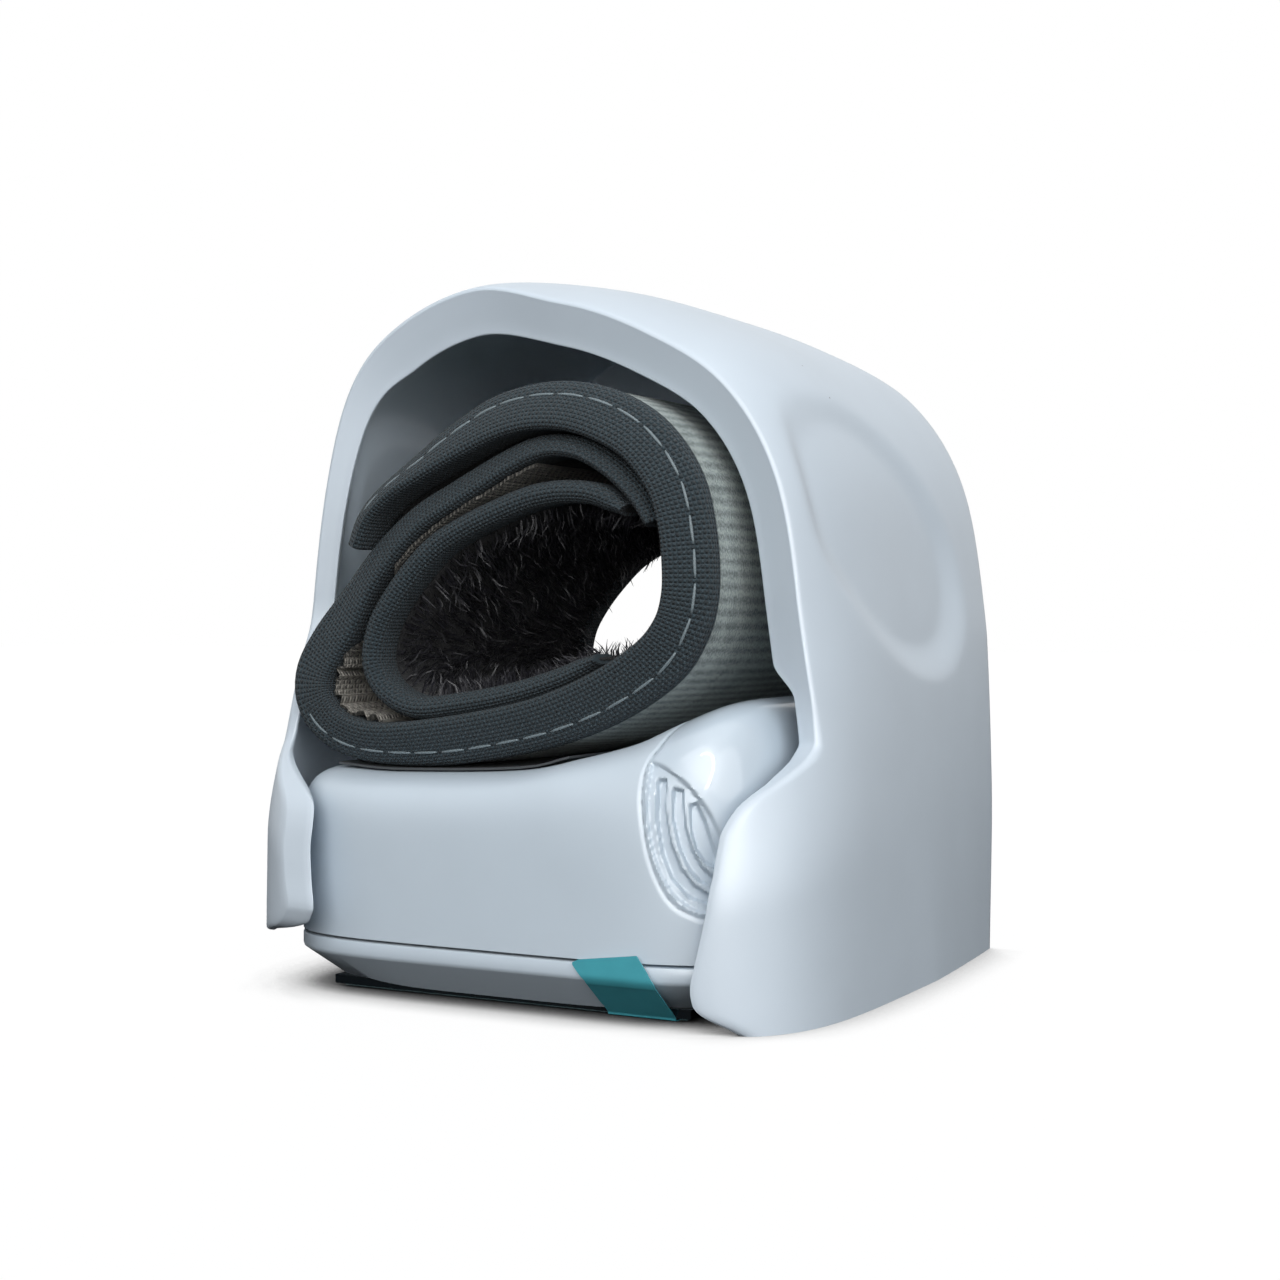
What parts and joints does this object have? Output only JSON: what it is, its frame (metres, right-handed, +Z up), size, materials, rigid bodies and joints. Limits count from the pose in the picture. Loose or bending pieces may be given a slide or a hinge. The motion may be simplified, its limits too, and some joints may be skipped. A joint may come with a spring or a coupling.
{
  "type": "wrist blood pressure monitor",
  "caption": "Wrist blood pressure monitor with a rolled cuff, lying on its display face under an open-ended arched storage cover.",
  "frame": {"origin": "middle of the monitor's display face, on the surface that it rests on", "axes": "+Z up, away from the display face; X round the wrist with the battery compartment at +X; Y along the wrist, with -Y at the viewer's side"},
  "size_m": [0.0905, 0.0836, 0.1013],
  "materials": {
    "cover_plastic": "satin",
    "housing_plastic": "satin",
    "battery_door_plastic": "gloss",
    "lens": "gloss",
    "lcd": "satin",
    "film": "gloss",
    "buttons": "satin",
    "silicone": "matte",
    "board": "satin",
    "inner_plastic": "matte",
    "motor_can": "satin",
    "steel": "satin",
    "cells": "gloss",
    "cuff_fabric": "matte",
    "bladder": "matte",
    "curler": "satin",
    "lining_fabric": "matte",
    "mesh_fabric": "matte"
  },
  "bodies": {
    "monitor": {"rear_housing": "housing_plastic", "front_bezel": "housing_plastic", "display_lens": "lens", "lcd_panel": "lcd", "contact_strips": "silicone", "screen_film": "film", "button_mat": "silicone", "circuit_board": "board", "pump_motor": "motor_can", "pump_head": "inner_plastic", "release_valve": "inner_plastic", "pressure_sensor": "inner_plastic", "air_tube": "silicone", "air_nipple": "inner_plastic", "beeper": "inner_plastic", "battery_lower": "cells", "battery_upper": "cells", "battery_springs": "steel", "battery_plates": "steel", "board_screws": "steel", "cuff_plate": "inner_plastic", "cuff_cover": "cuff_fabric", "cuff_bladder": "bladder", "cuff_curler": "curler", "cuff_lining": "lining_fabric", "cuff_mesh": "mesh_fabric"},
    "cover": {"storage_cover": "cover_plastic"},
    "battery_door": {"battery_cover": "battery_door_plastic"},
    "start_key": {"start_button": "buttons"},
    "memory_key": {"memory_button": "buttons"},
    "set_key": {"set_button": "buttons"}
  },
  "joints": [
    {"name": "cover_lift", "type": "slide", "parent": "monitor", "child": "cover", "axis": [0, 0, 1], "range_m": [0, 0.11]},
    {"name": "battery_cover_slide", "type": "slide", "parent": "monitor", "child": "battery_door", "axis": [1, 0, 0], "range_m": [0, 0.0006]},
    {"name": "start_press", "type": "slide", "parent": "monitor", "child": "start_key", "axis": [0, 0, 1], "range_m": [0, 0.0008], "stiffness_N_per_m": 600, "springref_m": -0.0005},
    {"name": "memory_press", "type": "slide", "parent": "monitor", "child": "memory_key", "axis": [0, 0, 1], "range_m": [0, 0.0008], "stiffness_N_per_m": 500, "springref_m": -0.0005},
    {"name": "set_press", "type": "slide", "parent": "monitor", "child": "set_key", "axis": [0, 0, 1], "range_m": [0, 0.0008], "stiffness_N_per_m": 500, "springref_m": -0.0005}
  ]
}
